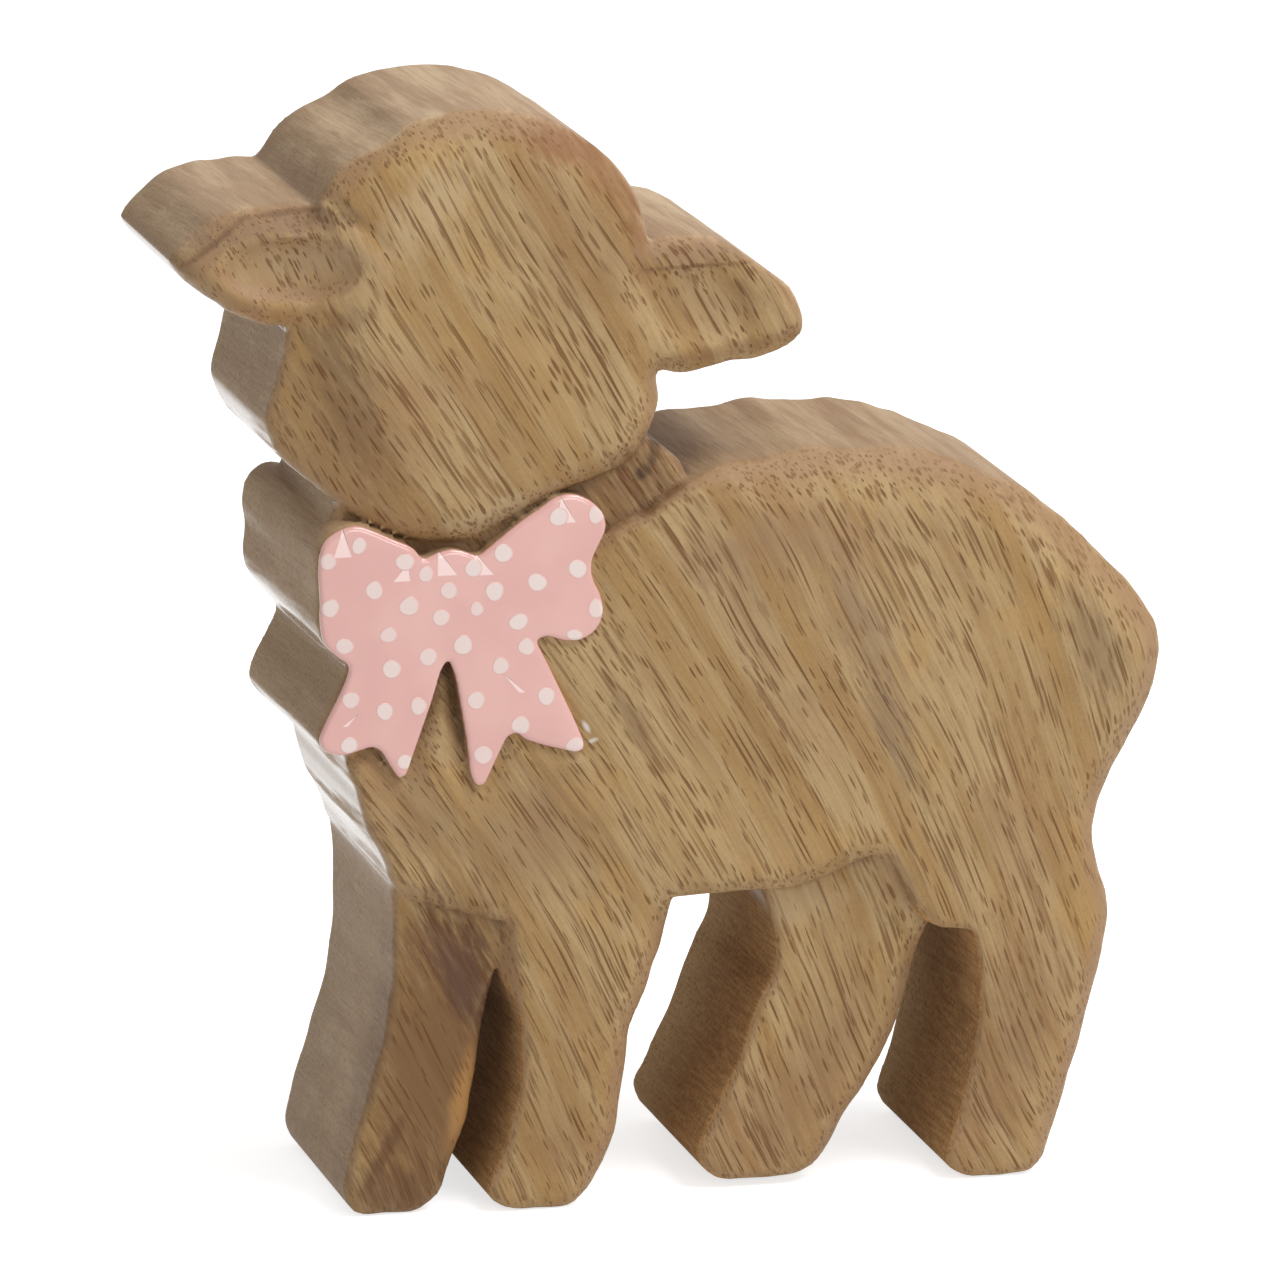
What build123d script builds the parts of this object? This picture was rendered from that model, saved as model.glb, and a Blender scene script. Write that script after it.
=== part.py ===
from build123d import *
import math
import os

# A small standing sheep, sawn from one thick wooden block and carved in relief. The bow at its
# neck stands up from the carved ground and carries a poured enamel coat with flush round dots.
# Frame: +X to the animal's tail, +Y to its back face, +Z up. The origin lies under the middle
# of the block, on the surface that the feet stand on. All lengths are in millimetres.

# The block that the animal is sawn from
block_width = 117.0
block_height = 130.0
block_thickness = 36.0

# How far the rims of each form are rounded over, front and back
head_rim_radius = 4.5
trunk_rim_radius = 4.0
leg_rim_radius = 3.0
ear_rim_radius = 2.6
neck_rim_radius = 1.6
bow_side_rim_radius = 0.7

# How far each form lies behind the front face or before the back face of the block
head_setback = 0.0
trunk_setback = 0.3
near_leg_setback = 0.55
ear_setback = 1.2
neck_setback = 3.4
bow_side_front_setback = 1.0
bow_side_back_setback = 0.8
front_leg_setback = 2.5
hind_leg_setback = 3.5

# The carved ground round the bow
ground_depth = 2.7
ground_slope_run = 2.2

# How far the cheek is cut back, and how far from the line that its bevel starts at
cheek_cut_depth = 3.3
cheek_cut_width = 10.0

# The hollows of the ears
ear_hollow_depth = 2.2
ear_hollow_floor_radius = 1.8
left_hollow_length = 14.0
left_hollow_height = 6.6
right_hollow_length = 13.0
right_hollow_height = 6.8

# The enamel on the bow and the dots in it
enamel_thickness = 0.8
enamel_rim_radius = 0.35
dot_diameter = 2.1
dot_depth = 0.3

# How far every cutting body runs past the face that it cuts
overrun = 1.0

# An outline's corners are rounded as far as this share of the shorter run beside each allows
arc_reach_share = 0.45
# A rim is never rounded further than these shares of the outline's tightest arc and of the
# form's own thickness
rim_arc_share = 0.9
rim_thickness_share = 0.4

# Outlines of the forms, seen from the front: (place across the block, measured from its middle
# as a share of its width; height over the floor as a share of its height)
head_shares = [
    (-0.365, 0.922), (-0.342, 0.943), (-0.306, 0.970), (-0.262, 0.993), (-0.216, 1.000),
    (-0.170, 1.000), (-0.122, 0.988), (-0.077, 0.962), (-0.042, 0.928), (-0.026, 0.886),
    (-0.019, 0.815), (-0.016, 0.758), (-0.019, 0.714), (-0.040, 0.683), (-0.075, 0.666),
    (-0.117, 0.654), (-0.165, 0.631), (-0.216, 0.614), (-0.273, 0.620), (-0.319, 0.640),
    (-0.362, 0.669), (-0.396, 0.698), (-0.409, 0.723), (-0.403, 0.752), (-0.393, 0.783),
    (-0.385, 0.819), (-0.377, 0.869),
]
trunk_shares = [
    (-0.290, 0.305), (-0.300, 0.333), (-0.318, 0.367), (-0.329, 0.402), (-0.338, 0.437),
    (-0.324, 0.477), (-0.276, 0.515), (-0.191, 0.551), (-0.114, 0.588), (-0.058, 0.618),
    (-0.006, 0.649), (0.042, 0.669), (0.103, 0.677), (0.177, 0.679), (0.245, 0.673), (0.305, 0.658),
    (0.358, 0.635), (0.399, 0.605), (0.479, 0.533), (0.501, 0.502), (0.503, 0.468), (0.492, 0.434),
    (0.451, 0.365), (0.434, 0.328), (0.430, 0.288), (0.421, 0.250), (0.382, 0.235), (0.314, 0.233),
    (0.268, 0.235), (0.244, 0.260), (0.223, 0.292), (0.189, 0.284), (0.126, 0.278), (0.040, 0.280),
    (-0.028, 0.278), (-0.079, 0.268), (-0.131, 0.265), (-0.179, 0.268), (-0.218, 0.277),
    (-0.257, 0.289),
]
neck_shares = [
    (-0.340, 0.658), (-0.347, 0.628), (-0.350, 0.592), (-0.346, 0.557), (-0.326, 0.518),
    (-0.325, 0.492), (-0.332, 0.466), (-0.322, 0.442), (-0.276, 0.431), (-0.165, 0.477),
    (-0.062, 0.538), (0.006, 0.615), (0.020, 0.665), (-0.037, 0.708), (-0.148, 0.731),
    (-0.268, 0.715), (-0.324, 0.685),
]
bow_side_shares = [
    (-0.348, 0.646), (-0.366, 0.632), (-0.373, 0.609), (-0.369, 0.585), (-0.372, 0.563),
    (-0.367, 0.541), (-0.338, 0.511), (-0.344, 0.491), (-0.357, 0.469), (-0.369, 0.446),
    (-0.362, 0.432), (-0.337, 0.423), (-0.285, 0.434), (-0.250, 0.492), (-0.256, 0.569),
    (-0.293, 0.628),
]
left_ear_shares = [
    (-0.503, 0.875), (-0.491, 0.888), (-0.463, 0.910), (-0.429, 0.921), (-0.389, 0.927),
    (-0.349, 0.920), (-0.306, 0.897), (-0.288, 0.863), (-0.305, 0.835), (-0.341, 0.822),
    (-0.379, 0.815), (-0.415, 0.817), (-0.445, 0.829), (-0.493, 0.863),
]
right_ear_shares = [
    (-0.071, 0.846), (-0.068, 0.800), (-0.047, 0.771), (-0.011, 0.756), (0.032, 0.754),
    (0.074, 0.761), (0.109, 0.772), (0.131, 0.785), (0.135, 0.799), (0.124, 0.818), (0.105, 0.838),
    (0.074, 0.859), (0.040, 0.876), (0.001, 0.882), (-0.040, 0.875),
]

# The legs, by where they stand: the two that lie back on the front side are the far ones
front_far_leg_shares = [
    (-0.288, 0.323), (-0.286, 0.277), (-0.286, 0.231), (-0.288, 0.192), (-0.297, 0.154),
    (-0.322, 0.085), (-0.332, 0.051), (-0.339, 0.020), (-0.326, 0.000), (-0.261, 0.000),
    (-0.240, 0.013), (-0.229, 0.043), (-0.213, 0.075), (-0.204, 0.108), (-0.200, 0.146),
    (-0.191, 0.185), (-0.180, 0.222), (-0.170, 0.262), (-0.174, 0.308), (-0.225, 0.338),
]
front_near_leg_shares = [
    (-0.170, 0.308), (-0.170, 0.262), (-0.168, 0.227), (-0.162, 0.192), (-0.158, 0.154),
    (-0.162, 0.108), (-0.173, 0.068), (-0.189, 0.035), (-0.195, 0.015), (-0.175, 0.000),
    (-0.107, 0.000), (-0.088, 0.014), (-0.071, 0.040), (-0.058, 0.069), (-0.049, 0.138),
    (-0.043, 0.169), (-0.028, 0.197), (-0.015, 0.231), (-0.005, 0.266), (-0.003, 0.300),
    (-0.028, 0.354), (-0.097, 0.385), (-0.148, 0.354),
]
hind_far_leg_shares = [
    (0.083, 0.315), (0.091, 0.280), (0.107, 0.243), (0.109, 0.208), (0.091, 0.172), (0.059, 0.097),
    (0.042, 0.066), (0.024, 0.041), (0.034, 0.019), (0.056, 0.006), (0.129, 0.006), (0.155, 0.017),
    (0.172, 0.040), (0.187, 0.066), (0.207, 0.089), (0.226, 0.118), (0.242, 0.152), (0.274, 0.262),
    (0.279, 0.308), (0.237, 0.346), (0.143, 0.354),
]
hind_near_leg_shares = [
    (0.298, 0.308), (0.300, 0.265), (0.313, 0.192), (0.311, 0.146), (0.303, 0.100), (0.293, 0.065),
    (0.278, 0.034), (0.279, 0.013), (0.302, 0.000), (0.367, 0.000), (0.386, 0.014), (0.426, 0.132),
    (0.449, 0.220), (0.451, 0.252), (0.437, 0.285), (0.432, 0.323), (0.399, 0.354), (0.339, 0.354),
]

# The bow, and the ground that is carved out round its tails
bow_shares = [
    (-0.364, 0.611), (-0.359, 0.625), (-0.344, 0.635), (-0.326, 0.639), (-0.309, 0.633),
    (-0.287, 0.623), (-0.269, 0.616), (-0.259, 0.604), (-0.247, 0.609), (-0.229, 0.613),
    (-0.215, 0.609), (-0.204, 0.604), (-0.164, 0.632), (-0.141, 0.645), (-0.127, 0.654),
    (-0.109, 0.657), (-0.090, 0.650), (-0.076, 0.637), (-0.073, 0.623), (-0.089, 0.594),
    (-0.088, 0.578), (-0.079, 0.563), (-0.076, 0.546), (-0.083, 0.531), (-0.098, 0.522),
    (-0.117, 0.522), (-0.134, 0.528), (-0.145, 0.525), (-0.134, 0.505), (-0.106, 0.451),
    (-0.096, 0.429), (-0.097, 0.422), (-0.106, 0.420), (-0.141, 0.429), (-0.158, 0.435),
    (-0.166, 0.442), (-0.175, 0.438), (-0.198, 0.395), (-0.207, 0.395), (-0.213, 0.406),
    (-0.216, 0.434), (-0.227, 0.495), (-0.234, 0.512), (-0.241, 0.503), (-0.249, 0.478),
    (-0.277, 0.408), (-0.285, 0.406), (-0.293, 0.417), (-0.306, 0.438), (-0.341, 0.429),
    (-0.360, 0.434), (-0.366, 0.445), (-0.358, 0.462), (-0.347, 0.480), (-0.338, 0.497),
    (-0.333, 0.511), (-0.344, 0.518), (-0.360, 0.531), (-0.364, 0.551), (-0.363, 0.572),
    (-0.365, 0.592),
]
ground_shares = [
    (-0.426, 0.492), (-0.420, 0.408), (-0.352, 0.372), (-0.268, 0.378), (-0.206, 0.352),
    (-0.138, 0.372), (-0.064, 0.404), (-0.040, 0.482), (-0.042, 0.562), (-0.092, 0.605),
    (-0.174, 0.595), (-0.285, 0.585), (-0.379, 0.558),
]
# The centres of the dots
dot_shares = [
    (-0.355, 0.607), (-0.324, 0.620), (-0.278, 0.603), (-0.257, 0.591), (-0.309, 0.579),
    (-0.274, 0.563), (-0.353, 0.565), (-0.234, 0.575), (-0.242, 0.551), (-0.209, 0.594),
    (-0.188, 0.572), (-0.206, 0.557), (-0.179, 0.606), (-0.145, 0.578), (-0.104, 0.588),
    (-0.085, 0.551), (-0.085, 0.636), (-0.123, 0.636), (-0.107, 0.528), (-0.164, 0.543),
    (-0.156, 0.520), (-0.220, 0.525), (-0.255, 0.516), (-0.295, 0.538), (-0.339, 0.530),
    (-0.292, 0.507), (-0.333, 0.481), (-0.299, 0.469), (-0.265, 0.472), (-0.335, 0.440),
    (-0.279, 0.422), (-0.207, 0.474), (-0.182, 0.504), (-0.136, 0.474), (-0.162, 0.449),
    (-0.200, 0.424), (-0.107, 0.428),
]

# The line on the head's face where the cheek's bevel starts, from its top down to the bow
cheek_line_shares = [(-0.328, 0.862), (-0.256, 0.646)]

# The middles of the ears' hollows
left_hollow_shares = (-0.387, 0.863)
right_hollow_shares = (0.036, 0.815)


def placed(shares):
    """Points of the block's front view, in lengths, from shares of its width and height."""
    return [(across * block_width, up * block_height) for across, up in shares]


def corner_radii(points):
    """For each corner, the largest arc that its two runs leave room for."""
    radii = []
    for i, corner in enumerate(points):
        before = Vector(*corner) - Vector(*points[i - 1])
        after = Vector(*points[(i + 1) % len(points)]) - Vector(*corner)
        half_turn = math.radians(before.get_angle(after)) / 2
        radii.append(arc_reach_share * min(before.length, after.length) / math.tan(half_turn))
    return radii


def soft_face(shares, y):
    """The closed outline as one face in the upright plane at y, its corners all arcs."""
    points = placed(shares)
    line = FilletPolyline(*points, radius=corner_radii(points), close=True)
    return Plane.XZ.offset(-y) * make_face(line)


def slab(shares, y_back, y_front):
    """The outline carried straight through from y_back to y_front."""
    return extrude(soft_face(shares, y_back), y_back - y_front)


def rounded_slab(shares, setback_front, setback_back, rim_radius):
    """A form through the block's thickness, less its setbacks, with both rims rounded over."""
    y_front = front_y + setback_front
    y_back = back_y - setback_back
    form = slab(shares, y_back, y_front)
    tightest = min(corner_radii(placed(shares)))
    rim = min(rim_radius, rim_arc_share * tightest, rim_thickness_share * (y_back - y_front))
    by_depth = form.edges().group_by(Axis.Y)
    return fillet(list(by_depth[0]) + list(by_depth[-1]), rim)


def cheek_cut():
    """The wedge that is carved off the left front of the head, along the cheek's line."""
    (top_across, top_up), (low_across, low_up) = placed(cheek_line_shares)
    low_end = Vector(low_across, front_y, low_up)
    line = Vector(top_across, front_y, top_up) - low_end
    across = line.cross(Vector(0, 1, 0)).normalized()
    section = Plane(origin=low_end, x_dir=across, z_dir=line)
    corners = [
        (0, 0), (cheek_cut_width, -cheek_cut_depth), (cheek_cut_width, overrun), (0, overrun),
    ]
    return extrude(section * make_face(Polyline(*corners, close=True)), line.length)


def bow_ground():
    """What is carved away round the bow's tails: a shallow pocket whose floor slopes up at
    its rim."""
    y_floor = front_y + ground_depth
    pocket = slab(ground_shares, y_floor, front_y - overrun)
    floor_rim = pocket.edges().group_by(Axis.Y)[-1]
    return chamfer(floor_rim, ground_slope_run)


def ear_hollow(middle_shares, length, height):
    """An oval hollow in the front of an ear, with a floor that curves up all round."""
    (across, up), = placed([middle_shares])
    y_floor = front_y + ear_hollow_depth
    oval = Plane.XZ.offset(-y_floor) * Pos(across, up) * Ellipse(length / 2, height / 2)
    hollow = extrude(oval, ear_hollow_depth + overrun)
    tightest = height**2 / (2 * length)
    floor_radius = min(ear_hollow_floor_radius, rim_arc_share * tightest)
    return fillet(hollow.edges().group_by(Axis.Y)[-1], floor_radius)


def wooden_body():
    """The whole animal in one solid, with the bow raised on it as far as its enamel."""
    head = (head_shares, head_setback, head_setback, head_rim_radius)
    forms = [
        (trunk_shares, trunk_setback, trunk_setback, trunk_rim_radius),
        (neck_shares, neck_setback, neck_setback, neck_rim_radius),
        (bow_side_shares, bow_side_front_setback, bow_side_back_setback, bow_side_rim_radius),
        (left_ear_shares, ear_setback, ear_setback, ear_rim_radius),
        (right_ear_shares, ear_setback, ear_setback, ear_rim_radius),
        (front_far_leg_shares, front_leg_setback, near_leg_setback, leg_rim_radius),
        (front_near_leg_shares, near_leg_setback, front_leg_setback, leg_rim_radius),
        (hind_far_leg_shares, hind_leg_setback, near_leg_setback, leg_rim_radius),
        (hind_near_leg_shares, near_leg_setback, hind_leg_setback, leg_rim_radius),
    ]
    carved = rounded_slab(*head) - cheek_cut()
    for form in forms:
        carved += rounded_slab(*form)
    carved -= bow_ground()
    carved -= ear_hollow(left_hollow_shares, left_hollow_length, left_hollow_height)
    carved -= ear_hollow(right_hollow_shares, right_hollow_length, right_hollow_height)
    y_root = front_y + neck_setback + overrun
    return carved + slab(bow_shares, y_root, front_y + enamel_thickness)


def enamel_coat():
    """The coat on the bow's face, before the dots are let into it."""
    coat = slab(bow_shares, front_y + enamel_thickness, front_y)
    rim = min(enamel_rim_radius, rim_arc_share * min(corner_radii(placed(bow_shares))))
    return fillet(coat.edges().group_by(Axis.Y)[0], rim)


def dot_plugs():
    """One short round plug for each dot, through the coat's front face."""
    y_floor = front_y + dot_depth
    plane = Plane.XZ.offset(-y_floor)
    dot = Circle(dot_diameter / 2)
    return [
        extrude(plane * Pos(across, up) * dot, dot_depth + overrun)
        for across, up in placed(dot_shares)
    ]


front_y = -block_thickness / 2
back_y = block_thickness / 2

body = wooden_body()
coat = enamel_coat()
plugs = dot_plugs()
dots = Compound([solid for plug in plugs for solid in (coat & plug).solids()])
for plug in plugs:
    coat -= plug

os.makedirs("parts", exist_ok=True)
export_step(body, "parts/wood_body.step")
export_step(coat, "parts/bow_enamel.step")
export_step(dots, "parts/bow_dots.step")
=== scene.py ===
import math

import bpy
import numpy as np
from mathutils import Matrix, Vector


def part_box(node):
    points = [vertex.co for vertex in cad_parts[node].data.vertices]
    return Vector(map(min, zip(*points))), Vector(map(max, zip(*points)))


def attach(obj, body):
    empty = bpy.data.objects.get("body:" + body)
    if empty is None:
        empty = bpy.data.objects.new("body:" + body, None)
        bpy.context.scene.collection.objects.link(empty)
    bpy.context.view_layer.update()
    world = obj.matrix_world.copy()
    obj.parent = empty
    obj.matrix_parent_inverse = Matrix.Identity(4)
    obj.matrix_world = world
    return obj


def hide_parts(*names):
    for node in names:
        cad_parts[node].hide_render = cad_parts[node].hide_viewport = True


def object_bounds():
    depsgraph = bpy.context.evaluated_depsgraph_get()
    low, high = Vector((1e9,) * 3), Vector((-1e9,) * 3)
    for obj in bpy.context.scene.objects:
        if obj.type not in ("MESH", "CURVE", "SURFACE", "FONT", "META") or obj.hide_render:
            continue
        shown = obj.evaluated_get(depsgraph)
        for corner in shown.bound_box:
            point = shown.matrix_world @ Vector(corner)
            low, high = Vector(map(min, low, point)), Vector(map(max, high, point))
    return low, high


bl_info = {
    "name": "Carved Lamb Ornament",
    "version": (1, 0, 0),
    "blender": (4, 5, 0),
    "location": "3D View > Sidebar > Lamb",
    "description": "Carves the wooden lamb, pours its enamel bow, sets the dots and lays out the table",
    "category": "Object",
}

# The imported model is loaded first, because the pieces stand in its frame. Shapes are worked out in
# millimetres: x to the tail, y to the back face, z up, the feet at zero.
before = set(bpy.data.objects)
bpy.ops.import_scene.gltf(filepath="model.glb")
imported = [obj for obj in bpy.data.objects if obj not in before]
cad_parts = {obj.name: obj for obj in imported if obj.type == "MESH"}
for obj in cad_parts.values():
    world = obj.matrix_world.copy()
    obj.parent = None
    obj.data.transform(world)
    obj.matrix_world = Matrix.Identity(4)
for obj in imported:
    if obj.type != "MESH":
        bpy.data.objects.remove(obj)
CAD_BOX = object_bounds()
MM = 0.001

# Outlines seen from the front, in thousandths of the block's width (from its middle) and height
HEAD = [
    (-365, 922), (-342, 943), (-306, 970), (-262, 993), (-216, 1000), (-170, 1000), (-122, 988),
    (-77, 962), (-42, 928), (-26, 886), (-19, 815), (-16, 758), (-19, 714), (-40, 683), (-75, 666),
    (-117, 654), (-165, 631), (-216, 614), (-273, 620), (-319, 640), (-362, 669), (-396, 698),
    (-409, 723), (-403, 752), (-393, 783), (-385, 819), (-377, 869),
]
TRUNK = [
    (-290, 305), (-300, 333), (-318, 367), (-329, 402), (-338, 437), (-324, 477), (-276, 515),
    (-191, 551), (-114, 588), (-58, 618), (-6, 649), (42, 669), (103, 677), (177, 679), (245, 673),
    (305, 658), (358, 635), (399, 605), (479, 533), (501, 502), (503, 468), (492, 434), (451, 365),
    (434, 328), (430, 288), (421, 250), (382, 235), (314, 233), (268, 235), (243, 258), (214, 312),
    (160, 291), (120, 281), (40, 280), (-28, 278), (-79, 268), (-131, 265), (-179, 268), (-218, 277),
    (-257, 289),
]
NECK = [
    (-340, 658), (-347, 628), (-350, 592), (-346, 557), (-326, 518), (-325, 492), (-332, 466),
    (-322, 442), (-276, 431), (-165, 477), (-62, 538), (6, 615), (20, 665), (-37, 708), (-148, 731),
    (-268, 715), (-324, 685),
]
# The bow's left loop and tail as they come out at the back face
LOBES_BACK = [
    (-354, 645), (-373, 631), (-379, 607), (-373, 585), (-379, 564), (-373, 541), (-341, 508),
    (-350, 492), (-365, 467), (-375, 445), (-364, 429), (-333, 416), (-285, 434), (-250, 492),
    (-256, 569), (-293, 628),
]
LEFT_EAR = [
    (-503, 875), (-491, 888), (-463, 910), (-429, 921), (-389, 927), (-349, 920), (-306, 897),
    (-288, 863), (-305, 835), (-341, 822), (-379, 815), (-415, 817), (-445, 829), (-493, 863),
]
RIGHT_EAR = [
    (-71, 846), (-68, 800), (-47, 771), (-11, 756), (32, 754), (74, 761), (109, 772), (131, 785),
    (135, 799), (124, 818), (105, 838), (74, 859), (40, 876), (1, 882), (-40, 875),
]
# The legs, named by the side of the block that they stand on
FRONT_BACK_LEG = [
    (-288, 323), (-286, 277), (-286, 231), (-288, 192), (-297, 154), (-322, 85), (-332, 51),
    (-339, 20), (-326, 0), (-261, 0), (-240, 13), (-229, 43), (-213, 75), (-204, 108), (-200, 146),
    (-191, 185), (-180, 222), (-170, 262), (-174, 308), (-225, 338),
]
FRONT_NEAR_LEG = [
    (-170, 308), (-170, 262), (-168, 227), (-162, 192), (-158, 154), (-162, 108), (-173, 68),
    (-189, 35), (-195, 15), (-175, 0), (-107, 0), (-88, 14), (-71, 40), (-58, 69), (-49, 138),
    (-43, 169), (-28, 197), (-15, 231), (-5, 266), (-3, 300), (-28, 354), (-97, 385), (-148, 354),
]
HIND_BACK_LEG = [
    (83, 315), (91, 280), (107, 243), (109, 208), (91, 172), (59, 97), (42, 66), (24, 41), (34, 19),
    (56, 6), (129, 6), (155, 17), (172, 40), (187, 66), (207, 89), (226, 118), (242, 152), (274, 262),
    (279, 308), (237, 346), (143, 354),
]
HIND_NEAR_LEG = [
    (298, 308), (300, 265), (313, 192), (311, 146), (303, 100), (293, 65), (278, 34), (279, 13),
    (302, 0), (367, 0), (386, 14), (426, 132), (449, 220), (451, 252), (437, 285), (432, 323),
    (399, 354), (339, 354),
]
BOW = [
    (-364, 611), (-359, 625), (-344, 635), (-326, 639), (-309, 633), (-287, 623), (-269, 616),
    (-259, 604), (-247, 609), (-229, 613), (-215, 609), (-204, 604), (-164, 632), (-141, 645),
    (-127, 654), (-109, 657), (-90, 650), (-76, 637), (-73, 623), (-89, 594), (-88, 578), (-79, 563),
    (-76, 546), (-83, 531), (-98, 522), (-117, 522), (-134, 528), (-145, 525), (-134, 505),
    (-106, 451), (-96, 429), (-97, 422), (-106, 420), (-141, 429), (-158, 435), (-166, 442),
    (-175, 438), (-198, 395), (-207, 395), (-213, 406), (-216, 434), (-227, 495), (-234, 512),
    (-241, 503), (-249, 478), (-277, 408), (-285, 406), (-293, 417), (-306, 438), (-341, 429),
    (-360, 434), (-366, 445), (-358, 462), (-347, 480), (-338, 497), (-333, 511), (-344, 518),
    (-360, 531), (-364, 551), (-363, 572), (-365, 592),
]
# Each dot: its middle in the same thousandths, how wide it is for its height, and its size
# against the rest
DOTS = [
    (-355, 607, 1.0, 1.00), (-324, 620, 0.9, 0.95), (-278, 603, 1.15, 1.10), (-257, 591, 0.95, 0.95),
    (-309, 579, 1.0, 1.10), (-274, 563, 1.05, 1.20), (-353, 565, 0.9, 1.10), (-234, 575, 1.0, 1.05),
    (-242, 551, 1.05, 1.05), (-209, 594, 1.0, 1.10), (-188, 572, 0.9, 1.15), (-206, 557, 0.9, 0.85),
    (-179, 606, 1.0, 1.15), (-145, 578, 1.15, 1.15), (-104, 588, 0.95, 1.15), (-85, 551, 0.85, 1.10),
    (-85, 636, 0.95, 1.05), (-123, 636, 1.0, 1.15), (-107, 528, 1.6, 0.85), (-164, 543, 1.2, 1.10),
    (-156, 520, 1.0, 1.05), (-220, 525, 0.95, 1.20), (-255, 516, 0.95, 1.10), (-295, 538, 1.1, 1.00),
    (-339, 530, 1.15, 1.05), (-292, 507, 1.0, 1.15), (-333, 481, 1.0, 1.05), (-299, 469, 0.9, 1.05),
    (-265, 472, 0.85, 1.05), (-335, 440, 1.1, 1.05), (-279, 422, 1.0, 0.95), (-207, 474, 0.95, 1.10),
    (-182, 504, 1.0, 1.05), (-136, 474, 1.0, 1.10), (-162, 449, 1.1, 1.15), (-200, 424, 1.05, 1.15),
    (-107, 428, 1.2, 1.05),
]
OUTLINES = {
    "head": HEAD, "trunk": TRUNK, "neck": NECK, "left_ear": LEFT_EAR, "right_ear": RIGHT_EAR,
    "front_back": FRONT_BACK_LEG, "front_near": FRONT_NEAR_LEG, "hind_back": HIND_BACK_LEG,
    "hind_near": HIND_NEAR_LEG, "bow": BOW, "lobes": LOBES_BACK,
}

# How each form's face falls away to its outline, in millimetres: how wide and how deep the fall is
# on the left, the right, the top and the bottom of the form
TRUNK_RIM = ((0.9, 0.4), (5.2, 2.7), (7.2, 3.1), (2.5, 1.5))
LEG_RIM = ((0.9, 0.4), (4.2, 2.3), (4.0, 2.0), (1.4, 0.8))
FRONT_BACK_RIM = ((0.9, 0.4), (2.0, 1.0), (4.0, 2.0), (1.4, 0.8))
HEAD_RIM = ((1.8, 0.8), (4.4, 2.6), (6.8, 3.1), (5.0, 2.5))
LEFT_EAR_RIM = ((2.2, 1.6), (2.0, 1.0), (1.0, 0.5), (2.8, 2.0))
RIGHT_EAR_RIM = ((2.0, 1.0), (2.6, 1.5), (1.4, 0.5), (3.0, 2.1))
THIN_RIM = ((0.8, 0.5), (1.4, 0.8), (1.4, 0.8), (1.4, 0.8))

# How far faces lie behind the block's own front or back, in millimetres
SANDED = 0.3
FRONT_LEG_STEP, HIND_LEG_STEP = 2.5, 3.5
NECK_STEP = 3.4
LEFT_EAR_STEP, RIGHT_EAR_STEP, EAR_BACK_STEP = 1.0, 0.35, 1.2
BOW_CORE_STEP, LOBE_STEP = 0.75, 0.8

# Places as x and z in millimetres, and the way in which the cheek falls back from its edge
EAR_NOTCH, BACK_TOP, CREASE = (-40, 122), (12, 89), (-40.5, 120.4)
CHEEK, CHEEK_WAY = (-37.8, 112), (-0.9624, -0.2715)
NAPE, HIND_FOLD = (-22, 82), (31, 36)
# The front legs' slot: its x, its pointed top, and the web over it
SLOT_X, SLOT_TOP, WEB_HALF_WIDTH, WEB_TOP = -21.0, 29.2, 3.4, 38
# The ears' hollows: x, z, length and height in millimetres, and the turn in radians
LEFT_HOLLOW = (-45.4, 112.8, 16.6, 7.4, -0.03)
RIGHT_HOLLOW = (2.6, 106.0, 14.0, 8.6, -0.15)
LEFT_BEVEL_Z, RIGHT_EAR_LINE = 116.2, 111
# Only the bow's side to the left of this x goes through the block
LOBES_RIGHT_X = -31
# How far a form's corner with the next one is filled, in millimetres
FILLET, EAR_FILLET, LOBE_FILLET, LEG_FILLET = 0.5, 0.6, 0.4, 4


# Shapes

def placed(thousandths):
    """Places on the block's front in millimetres, from thousandths of its width and height."""
    size = bpy.context.scene.lamb_carving
    return np.array(thousandths) / 1000 * (size.block_width / MM, size.block_height / MM)


def soft_outline(thousandths, reach=0.45, steps=7):
    """A closed outline with every corner B rounded by the curve (1-t)^2 A + 2t(1-t) B + t^2 C,
    where A and C lie on its two runs, at `reach` of the shorter one."""
    corner = placed(thousandths)
    back, on = np.roll(corner, 1, 0) - corner, np.roll(corner, -1, 0) - corner
    back_long, on_long = np.hypot(*back.T)[:, None], np.hypot(*on.T)[:, None]
    run = reach * np.minimum(back_long, on_long)
    start, end = corner + back / back_long * run, corner + on / on_long * run
    t = np.linspace(0, 1, steps)[None, :, None]
    curve = (1 - t) ** 2 * start[:, None] + 2 * t * (1 - t) * corner[:, None] + t**2 * end[:, None]
    return curve.reshape(-1, 2)


def outside(outline, x, z):
    """Distance of each place from the outline, less than zero inside. The distance is the least
    one to its runs, and a place is inside where a ray to its left crosses an odd number of them."""
    shape = np.shape(x)
    px, pz = np.ravel(x)[:, None].astype(np.float32), np.ravel(z)[:, None].astype(np.float32)
    a, b = outline.astype(np.float32), np.roll(outline, -1, 0).astype(np.float32)
    ax, az = a.T
    bx, bz = b.T
    ex, ez = bx - ax, bz - az
    along = np.clip(((px - ax) * ex + (pz - az) * ez) / (ex * ex + ez * ez + 1e-9), 0, 1)
    gap = np.hypot(px - ax - along * ex, pz - az - along * ez).min(1)
    level = (az <= pz) != (bz <= pz)
    left = px < ex * (pz - az) / np.where(np.abs(ez) < 1e-9, 1e-9, ez) + ax
    inner = (level & left).sum(1) % 2 == 1
    return np.where(inner, -gap, gap).reshape(shape).astype(np.float64)


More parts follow.
